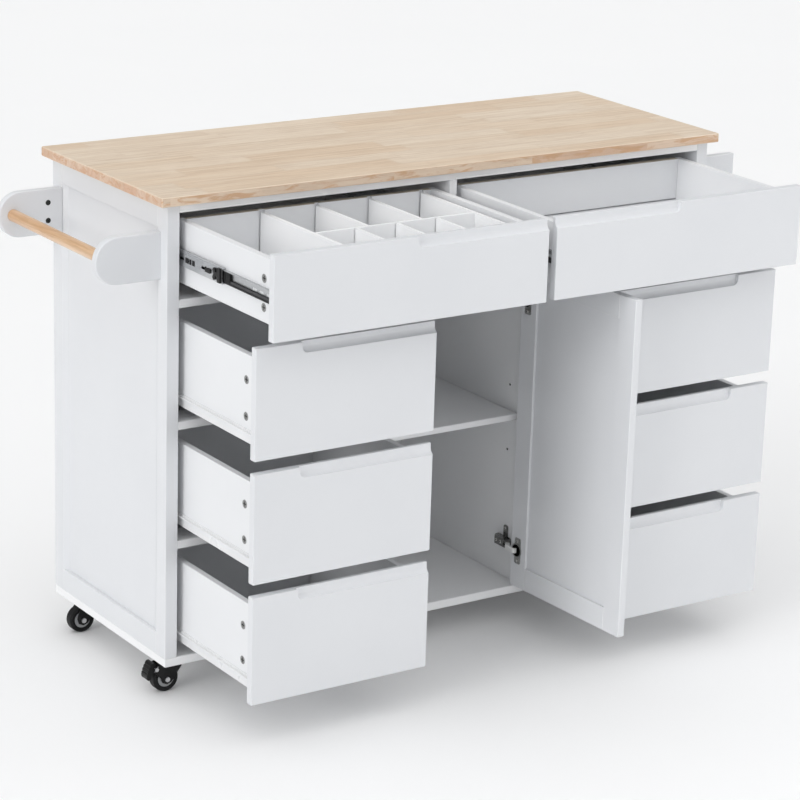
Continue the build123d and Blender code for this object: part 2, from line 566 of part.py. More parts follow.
# -------------------------------------------------------------- lower drawers
BOX_LEN = 350.0
RUN_Y0, RUN_Y1 = 30.0, 380.0
ROLLER_R = 7.0
runners = []
for column, left, right, opened, open_right in (
        ("left", IN_L, DIV_L0, OPEN_L, True), ("right", DIV_R1, IN_R, OPEN_R, False)):
    for row, base in zip(("upper", "middle", "lower"), ROW_ZS):
        name = column + "_" + row
        y = CAB_F - opened
        yb = y + FRONT_T
        f0 = base + GAP
        b0, b1 = f0 + 22.5, f0 + 172.5
        cams = (f0 + 128.5, f0 + 64.7)
        save(name + "_drawer_front", drawer_front(left + GAP, right - GAP, f0, f0 + FRONT_H, y, open_right))
        xa, xb = left + SLIDE_GAP, right - SLIDE_GAP
        box = [drawer_side(xa, xa + BOX_T, b0, b1, BOX_LEN, yb, xa, cams),
               drawer_side(xb - BOX_T, xb, b0, b1, BOX_LEN, yb, xb, cams),
               board(xa + BOX_T, xb - BOX_T, yb + BOX_LEN - BOX_T, yb + BOX_LEN, b0, b1),
               board(xa + BOX_T, xb - BOX_T, yb, yb + BOX_LEN - BOX_T, b0 + 8.0, b0 + 12.0, ease=0)]
        save(name + "_drawer_box", *box)
        hardware = []
        for outer, into in ((xa, 1), (xb, -1)):
            with BuildPart() as runner:
                with BuildSketch(Plane(origin=(-OX, RUN_Y1 - opened - OY, 0), x_dir=(1, 0, 0), z_dir=(0, -1, 0))):
                    with BuildLine():
                        Polyline((outer, b0), (outer, b0 + 22.0), (outer - into * 1.2, b0 + 22.0), (outer - into * 1.2, b0 + 18.2),
                                 (outer - into * 7.0, b0 + 18.2), (outer - into * 7.0, b0 + 17.0), (outer - into * 1.2, b0 + 17.0),
                                 (outer - into * 1.2, b0 - 1.2), (outer + into * 11.0, b0 - 1.2), (outer + into * 11.0, b0), (outer, b0))
                    make_face()
                extrude(amount=RUN_Y1 - RUN_Y0)
            hardware.append(runner.part)
            r0, r1 = sorted((outer - into * 1.2, outer - into * 9.0))
            hardware.append(rod_x(r0, r1, RUN_Y1 - 8.0, b0 + 9.0, ROLLER_R, dy=-opened))
            for z in cams:
                hardware.append(cam_lock(outer, into, yb + 34.0, z))
        save(name + "_runner_set", *hardware)
        for wall, into in ((left, 1), (right, -1)):
            runners.append(channel(wall, into, 10.6, 14.5, b0 + 12.5, RUN_Y0 + 22.0, RUN_Y1, 1.2))
            p0, p1 = sorted((wall, wall + into * 1.2))
            runners.append(board(p0, p1, RUN_Y0, RUN_Y0 + 22.0, b0 - 2.0, b0 + 27.0, ease=0))
            r0, r1 = sorted((wall + into * 1.2, wall + into * 10.4))
            runners.append(rod_x(r0, r1, RUN_Y0 + 11.0, b0 + 9.0, ROLLER_R))
save("runner_rails", *runners)

# --------------------------------------------------------------------- the door
SWING = Plane(origin=(PIVOT_X - OX, PIVOT_Y - OY, 0),
              x_dir=(math.cos(TH), math.sin(TH), 0), z_dir=(0, 0, 1))
DOOR_Y1 = CAB_F + DOOR_T
HINGE_ZS = (156.0, 646.0)
CUP_X, CUP_R, CUP_DEPTH = DOOR_X1 - 17.0, 13.0, 10.0
FLANGE_W, FLANGE_H, FLANGE_DX = 17.0, 51.0, 3.5


def door_board(x0, x1, y0, y1, z0, z1, ease=EASE):
    with BuildPart() as piece:
        with BuildSketch(SWING.offset(z0)):
            with Locations(((x0 + x1) / 2 - PIVOT_X, (y0 + y1) / 2 - PIVOT_Y)):
                Rectangle(x1 - x0, y1 - y0)
        extrude(amount=z1 - z0)
        if ease:
            chamfer(piece.edges(), length=ease)
    return piece.part


def door_face(x, y, z):
    """A plane on the door's inner face, its normal out of the door."""
    at = SWING.from_local_coords((x - PIVOT_X, y - PIVOT_Y, z))
    return Plane(origin=at, x_dir=(-math.cos(TH), -math.sin(TH), 0), z_dir=(-math.sin(TH), math.cos(TH), 0))


with BuildPart() as hinge_stile:
    with BuildSketch(SWING.offset(DOOR_Z0)):
        with Locations(((DOOR_X1 - DOOR_FRAME / 2) - PIVOT_X, (CAB_F + DOOR_Y1) / 2 - PIVOT_Y)):
            Rectangle(DOOR_FRAME, DOOR_T)
    extrude(amount=DOOR_Z1 - DOOR_Z0)
    chamfer(hinge_stile.edges(), length=EASE)
    for z in HINGE_ZS:
        with BuildSketch(door_face(CUP_X, DOOR_Y1, z)):
            Circle(CUP_R + 0.1)
        extrude(amount=-(CUP_DEPTH + 0.5), mode=Mode.SUBTRACT)
inner0, inner1 = DOOR_X0 + DOOR_FRAME, DOOR_X1 - DOOR_FRAME
save("door_frame", hinge_stile.part,
     door_board(DOOR_X0, inner0, CAB_F, DOOR_Y1, DOOR_Z0, DOOR_Z1),
     door_board(inner0, inner1, CAB_F, DOOR_Y1, DOOR_Z0, DOOR_Z0 + DOOR_FRAME),
     door_board(inner0, inner1, CAB_F, DOOR_Y1, DOOR_Z1 - DOOR_FRAME, DOOR_Z1))
save("door_panel", door_board(inner0, inner1, CAB_F + 4.5, DOOR_Y1 - 4.5, DOOR_Z0 + DOOR_FRAME, DOOR_Z1 - DOOR_FRAME, ease=0))

cups = []
for z in HINGE_ZS:
    face = door_face(CUP_X, DOOR_Y1, z)
    with BuildPart() as cup:
        with BuildSketch(face):
            Circle(CUP_R)
        extrude(amount=-CUP_DEPTH)
        with BuildSketch(face):
            Circle(CUP_R + 1.0)
            with Locations((FLANGE_DX, 0)):
                RectangleRounded(FLANGE_W, FLANGE_H, 3.5)
        extrude(amount=1.2)
        with BuildSketch(face.offset(1.2)):
            Circle(CUP_R - 1.3)
        extrude(amount=-(CUP_DEPTH - 0.2), mode=Mode.SUBTRACT)
        with BuildSketch(face.offset(1.2)):
            with Locations((FLANGE_DX, 19.5), (FLANGE_DX, -19.5)):
                Circle(3.2)
        extrude(amount=0.8)
    cups.append(cup.part)
save("hinge_cups", *cups)

# fixed half of the hinges, on the divider
LINK_X, LINK_Y = DIV_R0 - 11.0, 36.5      # link pivot
arms = []
for z in HINGE_ZS:
    with BuildPart() as arm:
        with BuildSketch(Plane(origin=(DIV_R0 - OX, -OY, 0), x_dir=(0, 1, 0), z_dir=(1, 0, 0))):
            with Locations((58.0, z + 9.0)):
                RectangleRounded(13.0, 42.0, 4.0)
            with Locations((61.0, z)):
                RectangleRounded(40.0, 15.0, 4.0)
        extrude(amount=-2.0)
        with BuildSketch(Plane.XY.offset(z - 8.0)):
            with BuildLine():
                Polyline((DIV_R0 - 2.0 - OX, 50.0 - OY), (DIV_R0 - 2.0 - OX, 80.0 - OY), (DIV_R0 - 9.0 - OX, 80.0 - OY),
                         (DIV_R0 - 15.5 - OX, 74.0 - OY), (DIV_R0 - 15.5 - OX, 46.0 - OY), (DIV_R0 - 9.0 - OX, 46.0 - OY),
                         (DIV_R0 - 2.0 - OX, 50.0 - OY))
            make_face()
        extrude(amount=16.0)
        for z0 in (z - 8.0, z + 5.2):
            with BuildSketch(Plane.XY.offset(z0)):
                with BuildLine():
                    Polyline((DIV_R0 - 15.5 - OX, 47.0 - OY), (DIV_R0 - 15.5 - OX, 34.0 - OY), (DIV_R0 - 12.5 - OX, 31.0 - OY),
                             (DIV_R0 - 9.0 - OX, 31.0 - OY), (DIV_R0 - 6.5 - OX, 34.0 - OY), (DIV_R0 - 6.5 - OX, 47.0 - OY),
                             (DIV_R0 - 15.5 - OX, 47.0 - OY))
                make_face()
            extrude(amount=2.8)
        with BuildSketch(Plane.XY.offset(z - 8.0)):
            with Locations((LINK_X - OX, LINK_Y - OY)):
                Circle(2.0)
        extrude(amount=16.0)
    arms.append(arm.part)
save("hinge_arms", *arms)

# outline of a link seen from above: eye, sweep out of the cup's way, hooked end
LINK = ((2.6, -3.4), (3.6, 1.0), (1.0, 3.6), (-3.0, 2.4), (-12.4, -8.4), (-13.2, -14.0), (-13.2, -33.0), (-10.6, -37.2),
        (-6.4, -37.2), (-6.4, -34.6), (-9.6, -34.0), (-10.6, -31.5), (-10.6, -14.6), (-9.6, -10.6), (2.6, -3.4))
links = []
for z in HINGE_ZS:
    with BuildPart() as link:
        with BuildSketch(Plane.XY.offset(z - 4.6)):
            with BuildLine():
                Polyline(*[(LINK_X + px - OX, LINK_Y + py - OY) for px, py in LINK])
            make_face()
            with Locations((LINK_X - OX, LINK_Y - OY)):
                Circle(2.05, mode=Mode.SUBTRACT)
        extrude(amount=9.2)
    links.append(link.part)
save("hinge_links", *links)
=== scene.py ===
"""Looks of the kitchen cart: painted board, jointed hardwood, plated steel and
moulded plastic, with the small fittings that the construction leaves out."""
import bpy
import bmesh
import math
from mathutils import Matrix, Vector


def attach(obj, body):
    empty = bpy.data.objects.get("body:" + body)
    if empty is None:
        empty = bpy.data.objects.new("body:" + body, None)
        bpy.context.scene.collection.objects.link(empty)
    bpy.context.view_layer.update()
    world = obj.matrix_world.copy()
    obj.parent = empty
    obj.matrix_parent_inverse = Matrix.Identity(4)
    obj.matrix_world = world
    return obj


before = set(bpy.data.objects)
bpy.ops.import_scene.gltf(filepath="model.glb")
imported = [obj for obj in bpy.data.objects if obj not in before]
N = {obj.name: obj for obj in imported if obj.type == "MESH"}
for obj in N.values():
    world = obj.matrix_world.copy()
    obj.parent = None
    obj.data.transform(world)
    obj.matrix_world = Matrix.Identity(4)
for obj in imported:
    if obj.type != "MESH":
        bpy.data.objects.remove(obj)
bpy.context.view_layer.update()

# Layout numbers of the cart, in millimetres, counted from the worktop's front
# left corner; OX and OY move them to the frame's origin.
OX, OY = 580.3, 73.9005


def P(x, y, z):
    return Vector(((x - OX) / 1000.0, (y - OY) / 1000.0, z / 1000.0))


# ------------------------------------------------------------------ node tools
class Tree:
    """Short names for the shader nodes used below."""

    def __init__(self, name):
        self.mat = bpy.data.materials.new(name)
        self.mat.use_nodes = True
        self.nt = self.mat.node_tree
        self.nt.nodes.clear()
        self.out = self.nt.nodes.new("ShaderNodeOutputMaterial")
        self.bsdf = self.nt.nodes.new("ShaderNodeBsdfPrincipled")
        self.nt.links.new(self.bsdf.outputs[0], self.out.inputs[0])
        coord = self.nt.nodes.new("ShaderNodeTexCoord")
        self.pos = coord.outputs["Object"]
        self.normal = coord.outputs["Normal"]

    def put(self, socket, value):
        if isinstance(value, bpy.types.NodeSocket):
            self.nt.links.new(value, socket)
        else:
            socket.default_value = value

    def set(self, **values):
        for key, value in values.items():
            self.put(self.bsdf.inputs[key.replace("_", " ")], value)

    def m(self, op, a, b=0.0, c=0.0):
        n = self.nt.nodes.new("ShaderNodeMath")
        n.operation = op
        for i, v in enumerate((a, b, c)):
            if i < len(n.inputs):
                self.put(n.inputs[i], v)
        return n.outputs[0]

    def scale(self, vec, xyz):
        n = self.nt.nodes.new("ShaderNodeVectorMath")
        n.operation = "MULTIPLY"
        self.put(n.inputs[0], vec)
        n.inputs[1].default_value = xyz
        return n.outputs[0]

    def shift(self, vec, other):
        n = self.nt.nodes.new("ShaderNodeVectorMath")
        n.operation = "ADD"
        self.put(n.inputs[0], vec)
        self.put(n.inputs[1], other)
        return n.outputs[0]

    def xyz(self, vec):
        n = self.nt.nodes.new("ShaderNodeSeparateXYZ")
        self.put(n.inputs[0], vec)
        return n.outputs

    def join(self, x, y, z):
        n = self.nt.nodes.new("ShaderNodeCombineXYZ")
        for i, v in enumerate((x, y, z)):
            self.put(n.inputs[i], v)
        return n.outputs[0]

    def noise(self, vec, scale, detail=2.0, rough=0.5, warp=0.0):
        n = self.nt.nodes.new("ShaderNodeTexNoise")
        self.put(n.inputs["Vector"], vec)
        n.inputs["Scale"].default_value = scale
        n.inputs["Detail"].default_value = detail
        n.inputs["Roughness"].default_value = rough
        n.inputs["Distortion"].default_value = warp
        return n.outputs[0]

    def cells(self, vec, scale):
        n = self.nt.nodes.new("ShaderNodeTexVoronoi")
        self.put(n.inputs["Vector"], vec)
        n.inputs["Scale"].default_value = scale
        return n.outputs["Distance"]

    def rings(self, vec, scale, warp, detail, fine):
        n = self.nt.nodes.new("ShaderNodeTexWave")
        n.wave_type = "BANDS"
        n.bands_direction = "Y"
        self.put(n.inputs["Vector"], vec)
        n.inputs["Scale"].default_value = scale
        n.inputs["Distortion"].default_value = warp
        n.inputs["Detail"].default_value = detail
        n.inputs["Detail Scale"].default_value = fine
        return n.outputs["Fac"]

    def chance(self, a, b=None):
        n = self.nt.nodes.new("ShaderNodeTexWhiteNoise")
        if b is None:
            n.noise_dimensions = "1D"
            self.put(n.inputs["W"], a)
        else:
            n.noise_dimensions = "2D"
            self.put(n.inputs["Vector"], self.join(a, b, 0.0))
        return n.outputs["Value"], n.outputs["Color"]

    def span(self, v, a, b, lo, hi):
        n = self.nt.nodes.new("ShaderNodeMapRange")
        self.put(n.inputs["Value"], v)
        n.inputs["From Min"].default_value = a
        n.inputs["From Max"].default_value = b
        n.inputs["To Min"].default_value = lo
        n.inputs["To Max"].default_value = hi
        return n.outputs[0]

    def mix(self, fac, a, b, how="MIX"):
        n = self.nt.nodes.new("ShaderNodeMix")
        n.data_type = "RGBA"
        n.blend_type = how
        self.put(n.inputs[0], fac)
        for s, v in ((n.inputs[6], a), (n.inputs[7], b)):
            self.put(s, v if isinstance(v, bpy.types.NodeSocket) else (*v, 1.0))
        return n.outputs[2]

    def ramp(self, fac, *stops):
        n = self.nt.nodes.new("ShaderNodeValToRGB")
        r = n.color_ramp
        while len(r.elements) < len(stops):
            r.elements.new(0.5)
        for e, (at, col) in zip(r.elements, stops):
            e.position = at
            e.color = (*col, 1.0)
        self.put(n.inputs[0], fac)
        return n.outputs[0]

    def bump(self, height, strength, distance, after=None):
        n = self.nt.nodes.new("ShaderNodeBump")
        n.inputs["Strength"].default_value = strength
        n.inputs["Distance"].default_value = distance
        self.put(n.inputs["Height"], height)
        if after is not None:
            self.put(n.inputs["Normal"], after)
        return n.outputs[0]


# ------------------------------------------------------------------- materials
def white_paint(name, low, high, rough=0.40, worn=0.0):
    """Satin paint on fibreboard: faint mottling, a fine sprayed skin and
    slightly uneven gloss."""
    t = Tree(name)
    broad = t.noise(t.pos, 4.0, 3.0, 0.55)
    fine = t.noise(t.pos, 45.0, 4.0, 0.6)
    col = t.mix(t.span(broad, 0.3, 0.7, 0.0, 1.0), low, high)
    specks = t.span(t.noise(t.pos, 260.0, 2.0, 0.5), 0.70, 0.80, 0.0, 0.10)
    col = t.mix(specks, col, tuple(c * 0.93 for c in low))
    if worn:
        rub = t.span(t.noise(t.pos, 80.0, 5.0, 0.7), 0.56, 0.70, 0.0, worn)
        col = t.mix(rub, col, (0.70, 0.68, 0.65))
    t.set(Base_Color=col, Roughness=t.span(fine, 0.3, 0.7, rough - 0.05, rough + 0.06))
    t.bsdf.inputs["Specular IOR Level"].default_value = 0.42
    skin = t.bump(t.noise(t.pos, 700.0, 2.0, 0.5), 0.10, 0.00012)
    flow = t.bump(t.noise(t.pos, 38.0, 2.0, 0.5), 0.05, 0.0008, skin)
    t.set(Normal=flow)
    return t.mat


def jointed_wood(name):
    """Edge-glued staves of pale hardwood, finger-jointed end to end along x."""
    t = Tree(name)
    x, y, z = t.xyz(t.pos)
    row_h, length = 0.045, 0.34
    rowf = t.m("DIVIDE", t.m("ADD", y, OY / 1000.0), row_h)
    row = t.m("FLOOR", rowf)
    off = t.m("MULTIPLY", t.chance(row)[0], 9.0)
    along = t.m("ADD", t.m("DIVIDE", x, length), off)
    along = t.m("ADD", along, t.m("MULTIPLY", t.m("SINE", t.m("ADD", t.m("MULTIPLY", along, 2.3), off)), 0.19))
    fingers = t.m("MULTIPLY", t.m("PINGPONG", y, 0.0021), 4.0 / length)
    joint = t.m("ADD", along, fingers)
    col = t.m("FLOOR", joint)
    tone, hue = t.chance(row, col)
    odd = t.xyz(hue)
    local = t.shift(t.pos, t.scale(hue, (7.0, 3.0, 5.0)))
    # growth rings cut at a low angle give each stave its own figure
    sway = t.noise(t.scale(local, (3.0, 14.0, 14.0)), 1.0, 3.0, 0.55)
    figure = t.rings(t.shift(t.scale(local, (0.22, 1.0, 0.9)), t.scale(t.join(0.0, sway, 0.0), (0.0, 0.055, 0.0))), 26.0, 3.5, 3.0, 1.6)
    streak = t.noise(t.scale(local, (2.2, 58.0, 58.0)), 2.0, 6.0, 0.66, 0.5)
    cloud = t.noise(t.scale(local, (7.0, 24.0, 24.0)), 1.0, 4.0, 0.6, 0.3)
    pores = t.noise(t.scale(local, (34.0, 760.0, 760.0)), 1.0, 3.0, 0.6)
    fleck = t.noise(t.scale(local, (11.0, 210.0, 210.0)), 1.0, 4.0, 0.62)
    top = t.ramp(tone, (0.0, (0.815, 0.652, 0.488)), (0.24, (0.835, 0.692, 0.538)), (0.55, (0.858, 0.732, 0.588)),
                 (0.80, (0.835, 0.690, 0.532)), (1.0, (0.800, 0.630, 0.464)))
    edge = t.ramp(tone, (0.0, (0.850, 0.630, 0.455)), (0.28, (0.945, 0.775, 0.605)), (0.55, (0.965, 0.825, 0.675)),
                  (0.80, (0.920, 0.700, 0.535)), (1.0, (0.780, 0.530, 0.370)))
    nx, ny, nz = t.xyz(t.normal)
    up = t.span(t.m("ABSOLUTE", nz), 0.55, 0.95, 0.0, 1.0)
    ends = t.span(t.m("ABSOLUTE", nx), 0.6, 0.9, 0.0, 1.0)
    wood = t.mix(up, edge, top)
    deep = t.mix(up, (0.500, 0.300, 0.170), (0.535, 0.375, 0.245))
    strength = t.span(up, 0.0, 1.0, 0.42, 0.62)
    wood = t.mix(t.m("MULTIPLY", t.span(cloud, 0.40, 0.70, 0.0, 0.42), strength), wood, deep)
    wood = t.mix(t.m("MULTIPLY", t.span(streak, 0.46, 0.74, 0.0, 0.55), strength), wood, deep)
    wood = t.mix(t.m("MULTIPLY", t.m("MULTIPLY", t.span(figure, 0.45, 1.0, 0.0, 0.46), strength), t.span(odd[1], 0.30, 0.75, 0.15, 1.0)), wood, deep)
    flame = t.noise(t.shift(t.scale(local, (15.0, 45.0, 95.0)), t.scale(t.join(0.0, sway, sway), (0.0, 5.0, 5.0))), 1.0, 5.0, 0.62, 0.7)
    flame = t.m("MULTIPLY", t.span(flame, 0.505, 0.60, 0.0, 0.86), t.m("SUBTRACT", 1.0, up))
    wood = t.mix(flame, wood, (0.715, 0.430, 0.245))
    pale = t.span(t.noise(t.scale(local, (4.0, 90.0, 90.0)), 1.0, 4.0, 0.6), 0.52, 0.75, 0.0, 0.45)
    wood = t.mix(pale, wood, t.mix(up, (0.870, 0.730, 0.590), (0.840, 0.745, 0.625)))
    wood = t.mix(t.span(fleck, 0.54, 0.74, 0.0, 0.46), wood, (0.520, 0.350, 0.222))
    wood = t.mix(t.span(pores, 0.60, 0.71, 0.0, 0.36), wood, (0.400, 0.250, 0.145))
    wood = t.mix(t.m("MULTIPLY", ends, 0.46), wood, (0.470, 0.265, 0.165))
    seam_y = t.m("PINGPONG", rowf, 0.5)
    seam_x = t.m("PINGPONG", joint, 0.5)
    seam = t.m("MAXIMUM", t.span(seam_y, 0.006, 0.016, 1.0, 0.0), t.span(seam_x, 0.0007, 0.0026, 1.0, 0.0))
    wood = t.mix(t.m("MULTIPLY", seam, 0.28), wood, (0.330, 0.195, 0.105))
    # the edges between the faces are painted paler as a painted highlight
    arris_highlight = t.m("MULTIPLY", t.span(t.m("ABSOLUTE", nz), 0.15, 0.45, 0.0, 1.0), t.span(t.m("ABSOLUTE", nz), 0.80, 0.97, 1.0, 0.0))
    wood = t.mix(t.m("MULTIPLY", arris_highlight, 0.55), wood, (0.840, 0.735, 0.610))
    t.set(Base_Color=wood, Roughness=t.span(streak, 0.3, 0.75, 0.38, 0.54))
    t.bsdf.inputs["Specular IOR Level"].default_value = 0.38
    t.bsdf.inputs["Coat Weight"].default_value = 0.10
    t.bsdf.inputs["Coat Roughness"].default_value = 0.34
    cut = t.bump(t.span(pores, 0.58, 0.74, 1.0, 0.0), 0.28, 0.00014)
    t.set(Normal=t.bump(t.m("SUBTRACT", 1.0, seam), 0.25, 0.00015, cut))
    return t.mat


def turned_wood(name):
    """A lacquered dowel with the grain along y."""
    t = Tree(name)
    sway = t.noise(t.scale(t.pos, (30.0, 5.0, 30.0)), 1.0, 3.0, 0.5)
    grain = t.noise(t.shift(t.scale(t.pos, (95.0, 2.4, 95.0)), t.scale(t.join(sway, 0.0, sway), (1.6, 0.0, 1.6))), 2.0, 6.0, 0.62, 0.4)
    pores = t.noise(t.scale(t.pos, (900.0, 30.0, 900.0)), 1.0, 3.0, 0.6)
    broad = t.noise(t.scale(t.pos, (26.0, 3.4, 26.0)), 1.6, 3.0, 0.55)
    wood = t.mix(t.span(broad, 0.34, 0.66, 0.0, 1.0), (0.665, 0.415, 0.232), (0.770, 0.535, 0.335))
    wood = t.mix(t.span(grain, 0.44, 0.70, 0.0, 0.62), wood, (0.430, 0.225, 0.105))
    wood = t.mix(t.span(pores, 0.60, 0.72, 0.0, 0.40), wood, (0.300, 0.150, 0.070))
    t.set(Base_Color=wood, Roughness=t.span(grain, 0.3, 0.7, 0.26, 0.40))
    t.bsdf.inputs["Coat Weight"].default_value = 0.40
    t.bsdf.inputs["Coat Roughness"].default_value = 0.16
    t.set(Normal=t.bump(t.span(pores, 0.60, 0.75, 1.0, 0.0), 0.2, 0.0001))
    return t.mat


def plated_steel(name, colour, rough, along=(260.0, 5.0, 260.0), dark=0.75, metal=1.0):
    """Rolled or pressed steel with drawn streaks and a little grease."""
    t = Tree(name)
    streak = t.noise(t.scale(t.pos, along), 1.0, 4.0, 0.65)
    blot = t.noise(t.pos, 28.0, 4.0, 0.6)
    col = t.mix(t.span(blot, 0.42, 0.72, 0.0, 0.55), colour, tuple(c * dark for c in colour))
    col = t.mix(t.span(streak, 0.35, 0.75, 0.0, 0.25), col, tuple(min(1.0, c * 1.12) for c in colour))
    t.set(Base_Color=col, Roughness=t.span(streak, 0.25, 0.75, rough - 0.07, rough + 0.10))
    t.bsdf.inputs["Metallic"].default_value = metal
    t.set(Normal=t.bump(streak, 0.12, 0.00008))
    return t.mat


def enamel(name, colour, rough=0.30):
    """Baked white enamel on rolled steel, faintly orange-peeled."""
    t = Tree(name)
    broad = t.noise(t.pos, 16.0, 3.0, 0.55)
    col = t.mix(t.span(broad, 0.35, 0.7, 0.0, 1.0), colour, tuple(c * 0.95 for c in colour))
    scuff = t.span(t.noise(t.scale(t.pos, (420.0, 18.0, 420.0)), 1.0, 4.0, 0.7), 0.62, 0.78, 0.0, 0.30)
    col = t.mix(scuff, col, tuple(c * 0.80 for c in colour))
    t.set(Base_Color=col, Roughness=t.span(broad, 0.3, 0.7, rough - 0.04, rough + 0.06))
    t.bsdf.inputs["Coat Weight"].default_value = 0.2
    t.bsdf.inputs["Coat Roughness"].default_value = 0.18
    t.set(Normal=t.bump(t.noise(t.pos, 520.0, 2.0, 0.5), 0.12, 0.0001))
    return t.mat


def moulded(name, colour, rough, grainy=0.25, dust=0.0, gloss=0.5):
    """Moulded plastic with a spark-eroded skin."""
    t = Tree(name)
    broad = t.noise(t.pos, 40.0, 3.0, 0.6)
    skin = t.noise(t.pos, 1500.0, 2.0, 0.55)
    col = t.mix(t.span(broad, 0.3, 0.7, 0.0, 1.0), colour, tuple(c * 0.82 for c in colour))
    if dust:
        col = t.mix(t.span(t.noise(t.pos, 120.0, 5.0, 0.7), 0.5, 0.8, 0.0, dust), col, (0.30, 0.29, 0.28))
    t.set(Base_Color=col, Roughness=t.span(broad, 0.3, 0.7, rough - 0.05, rough + 0.08))
    t.bsdf.inputs["Specular IOR Level"].default_value = gloss
    t.set(Normal=t.bump(skin, grainy, 0.0001))
    return t.mat


PAINT = white_paint("white_satin_paint", (0.730, 0.742, 0.764), (0.755, 0.766, 0.786))
# a lighter, glossier copy of the white paint for the eased edges: a painted highlight, with a little rubbed wear
PAINT_EDGE_HIGHLIGHT = white_paint("white_paint_eased_edge_highlight_and_rub", (0.780, 0.789, 0.805), (0.805, 0.813, 0.828), 0.34, 0.10)
# a lighter copy of the white paint for the drawer boxes: painted light inside the shaded drawers
PAINT_BOX_LIGHTENED = white_paint("white_paint_lightened_for_drawer_shade", (0.785, 0.795, 0.812), (0.808, 0.816, 0.830), 0.44)
# a much lighter copy of the white paint: painted light on the shaded inner boards and the rails under the worktop
PAINT_IN_LIGHTENED = white_paint("white_paint_lightened_for_interior_shade", (0.874, 0.880, 0.890), (0.894, 0.898, 0.906), 0.46)
# the lightest copy of the white paint: painted light on the cutlery dividers' shaded faces inside the drawer
PAINT_CUT_LIGHTENED = white_paint("white_paint_lightened_as_painted_light_on_dividers", (0.922, 0.927, 0.935), (0.938, 0.942, 0.949), 0.44)
TOP = jointed_wood("finger_jointed_hardwood")
DOWEL = turned_wood("turned_hardwood_bar")
STEEL = plated_steel("zinc_plated_slide", (0.60, 0.61, 0.62), 0.30)
STEEL_IN = plated_steel("zinc_plated_slide_inner", (0.56, 0.57, 0.58), 0.36)
# near-black steel for the lower ball race and the inner member's lower lip
NEAR_BLACK_RACE = plated_steel("near_black_ball_race", (0.085, 0.085, 0.088), 0.38, (420.0, 4.0, 420.0), 0.6)
NICKEL = plated_steel("nickel_plated_fitting", (0.62, 0.61, 0.59), 0.24, (90.0, 90.0, 90.0), 0.82)
# darkened copies of the nickel plating: painted shade on the hinge arms and cup flanges inside the cupboard
HINGE = plated_steel("nickel_hinge_arm_darkened_for_shade", (0.250, 0.250, 0.240), 0.26, (140.0, 140.0, 140.0), 0.55)
FLANGE = plated_steel("nickel_cup_flange_darkened_for_shade", (0.400, 0.400, 0.388), 0.28, (140.0, 140.0, 140.0), 0.6)
# a pale, mostly non-metallic copy of the nickel plating: a painted reflection on the hinge links
LINK_REFLECTION = plated_steel("hinge_link_painted_reflection", (0.92, 0.92, 0.91), 0.34, (60.0, 60.0, 60.0), 0.92, 0.25)
PRESSED = plated_steel("pressed_caster_steel", (0.30, 0.30, 0.31), 0.36, (120.0, 120.0, 120.0), 0.7)
BOLT = plated_steel("caster_axle_bolt", (0.66, 0.66, 0.67), 0.28, (300.0, 300.0, 300.0), 0.85)
CAM = plated_steel("zinc_cam_lock", (0.330, 0.330, 0.325), 0.40, (220.0, 220.0, 220.0), 0.75)
# near black: painted shade in the recesses of cam locks, screws and hinge cups
SLOT_SHADE = plated_steel("painted_shade_in_recesses", (0.030, 0.030, 0.030), 0.55, (220.0, 220.0, 220.0), 0.6)
NUT = plated_steel("dark_barrel_nut", (0.060, 0.062, 0.058), 0.42, (220.0, 220.0, 220.0), 0.6)
ENAMEL = enamel("white_runner_enamel", (0.82, 0.825, 0.835))
NYLON = moulded("roller_nylon", (0.72, 0.72, 0.71), 0.38, 0.10)
BLACK = moulded("black_moulded_plastic", (0.0050, 0.0050, 0.0053), 0.40, 0.25, 0.010, 0.30)
TREAD = moulded("black_wheel_tread", (0.0065, 0.0065, 0.0068), 0.48, 0.35, 0.015, 0.26)
RING = moulded("grey_wheel_ring", (0.36, 0.365, 0.375), 0.36, 0.15)
# the raw fibreboard edge colour, made paler as painted light on the shaded top edges of the drawer box
RAW_EDGE_LIGHTENED = moulded("raw_fibreboard_edge_lightened_as_painted_light", (0.600, 0.530, 0.430), 0.75, 0.45)
# near black: painted shade inside the shelf-pin holes
HOLE_SHADE = moulded("painted_shade_in_drilled_holes", (0.060, 0.052, 0.045), 0.85, 0.45)
LATCH = moulded("black_slide_latch", (0.0055, 0.0055, 0.0058), 0.36, 0.15, 0.0, 0.30)


def dress(node, *mats):
    """Give a node its materials; the first one is everywhere unless said otherwise."""
    me = N[node].data
    me.materials.clear()
    for m in mats:
        me.materials.append(m)
    for p in me.polygons:
        p.material_index = 0
    return me


def split(node, test, index):
    """Give a node's polygons for which test(centre in mm layout, normal, area) is true another of its materials."""
    me = N[node].data
    for p in me.polygons:
        c = p.center
        if test(c.x * 1000 + OX, c.y * 1000 + OY, c.z * 1000, p.normal, p.area):
            p.material_index = index


def boards(node, paint=PAINT, turn=0.0):
    """A node of painted boards, whose eased edges take a lighter, glossier, slightly rubbed paint: a painted highlight
    along the edges, with a little wear.
    """
    dress(node, paint, PAINT_EDGE_HIGHLIGHT)
    spin = Matrix.Rotation(-turn, 3, "Z")

    def eased(x, y, z, n, a):
        v = spin @ n
        return max(abs(v.x), abs(v.y), abs(v.z)) < 0.96
    split(node, eased, 1)


for node in ("side_frames", "spice_rack"):
    boards(node)
# inner boards and cross rails take the lightened white paint, painted light against their shade
for node in ("bottom_panel", "back_panel", "mid_deck", "lower_dividers", "adjustable_shelf", "upper_divider", "cross_rails"):
    boards(node, PAINT_IN_LIGHTENED)
